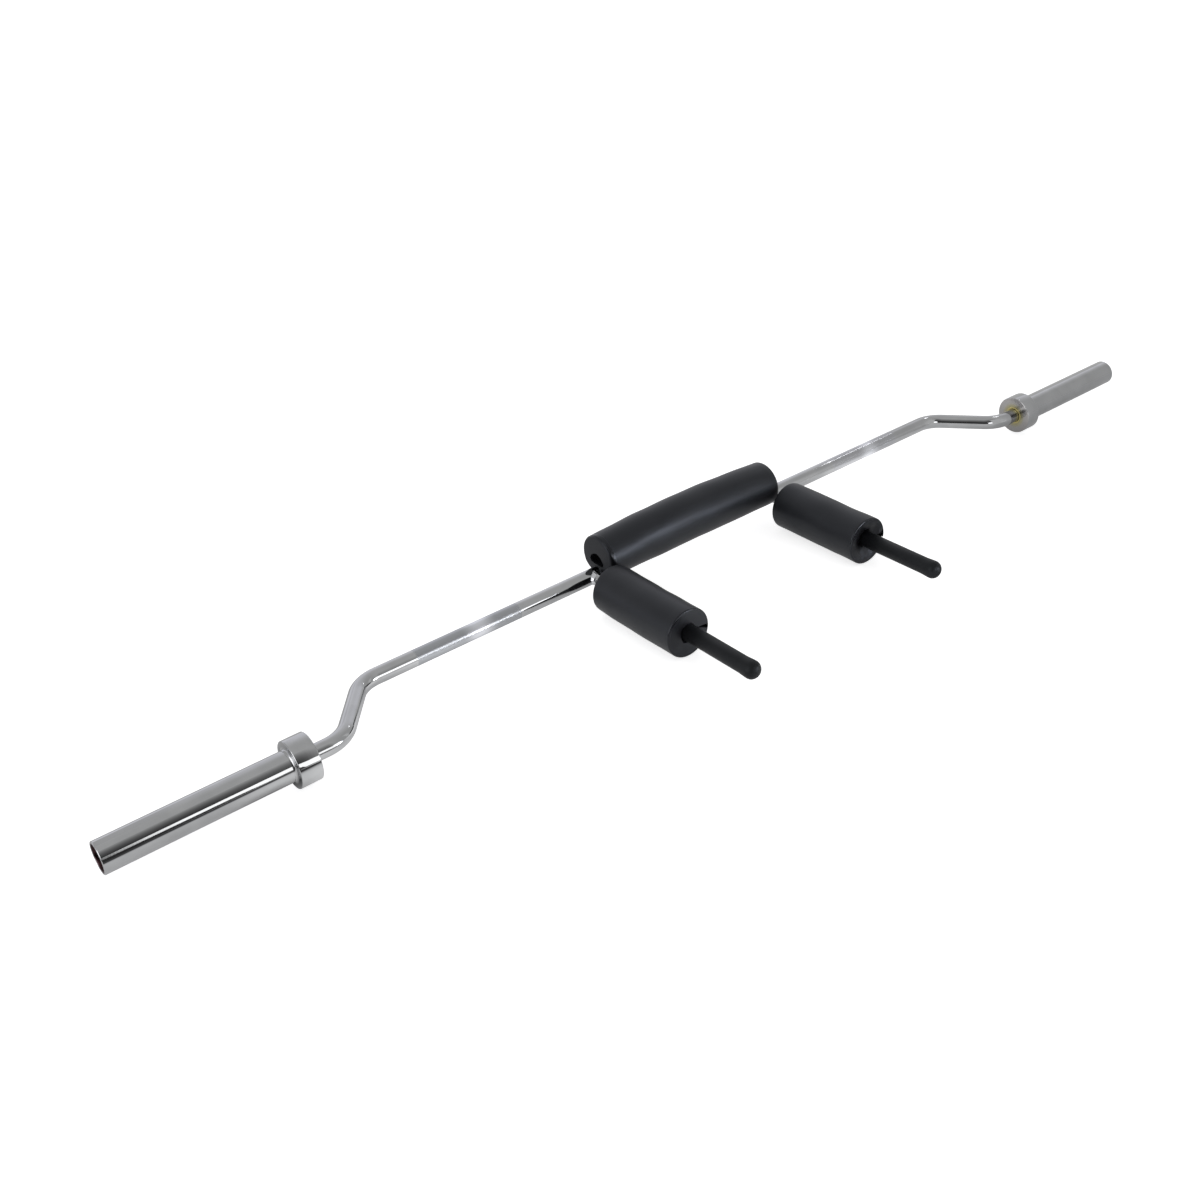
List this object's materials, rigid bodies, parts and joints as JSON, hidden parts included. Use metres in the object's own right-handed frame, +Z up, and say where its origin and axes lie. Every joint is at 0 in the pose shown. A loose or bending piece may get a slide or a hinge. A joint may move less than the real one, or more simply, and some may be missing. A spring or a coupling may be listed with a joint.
{
  "type": "safety squat bar",
  "caption": "Bent chromed barbell with a foam neck pad, two forward padded arms ending in hand grips, and free-turning plate sleeves.",
  "frame": {"origin": "on the floor under the middle of the outline, with the bar lying on its shoulder pads", "axes": "+X along the shaft to the right-hand sleeve, -Y along the arms to the hand grips, +Z up, with the neck pad on top"},
  "size_m": [2.27, 0.4576, 0.1265],
  "materials": {
    "chrome": "bright chrome plate, with a matt diamond knurl on two lengths of the shaft",
    "foam": "charcoal closed-cell foam rubber with a smooth moulded skin",
    "rubber": "black moulded rubber, matt with a faint sheen",
    "bronze": "turned bronze, oiled",
    "steel": "zinc-plated steel"
  },
  "bodies": {
    "frame": {"bar_shaft": "chrome", "neck_pad": "foam", "left_arm_rod": "chrome", "left_arm_weld": "chrome", "left_shoulder_pad": "foam", "left_hand_grip": "rubber", "left_thrust_washer": "steel", "left_retaining_washer": "steel", "left_lock_washer": "steel", "left_end_screw": "steel", "right_arm_rod": "chrome", "right_arm_weld": "chrome", "right_shoulder_pad": "foam", "right_hand_grip": "rubber", "right_thrust_washer": "steel", "right_retaining_washer": "steel", "right_lock_washer": "steel", "right_end_screw": "steel"},
    "left_sleeve": {"left_sleeve_tube": "chrome", "left_sleeve_collar": "chrome", "left_inner_bush": "bronze", "left_outer_bush": "bronze"},
    "right_sleeve": {"right_sleeve_tube": "chrome", "right_sleeve_collar": "chrome", "right_inner_bush": "bronze", "right_outer_bush": "bronze"}
  },
  "joints": [
    {"name": "left_sleeve_spin", "type": "hinge", "parent": "frame", "child": "left_sleeve", "pos_m": [-0.98, 0.07625, 0.0465], "axis": [1, 0, 0], "continuous": true},
    {"name": "right_sleeve_spin", "type": "hinge", "parent": "frame", "child": "right_sleeve", "pos_m": [0.98, 0.07625, 0.0465], "axis": [1, 0, 0], "continuous": true}
  ]
}
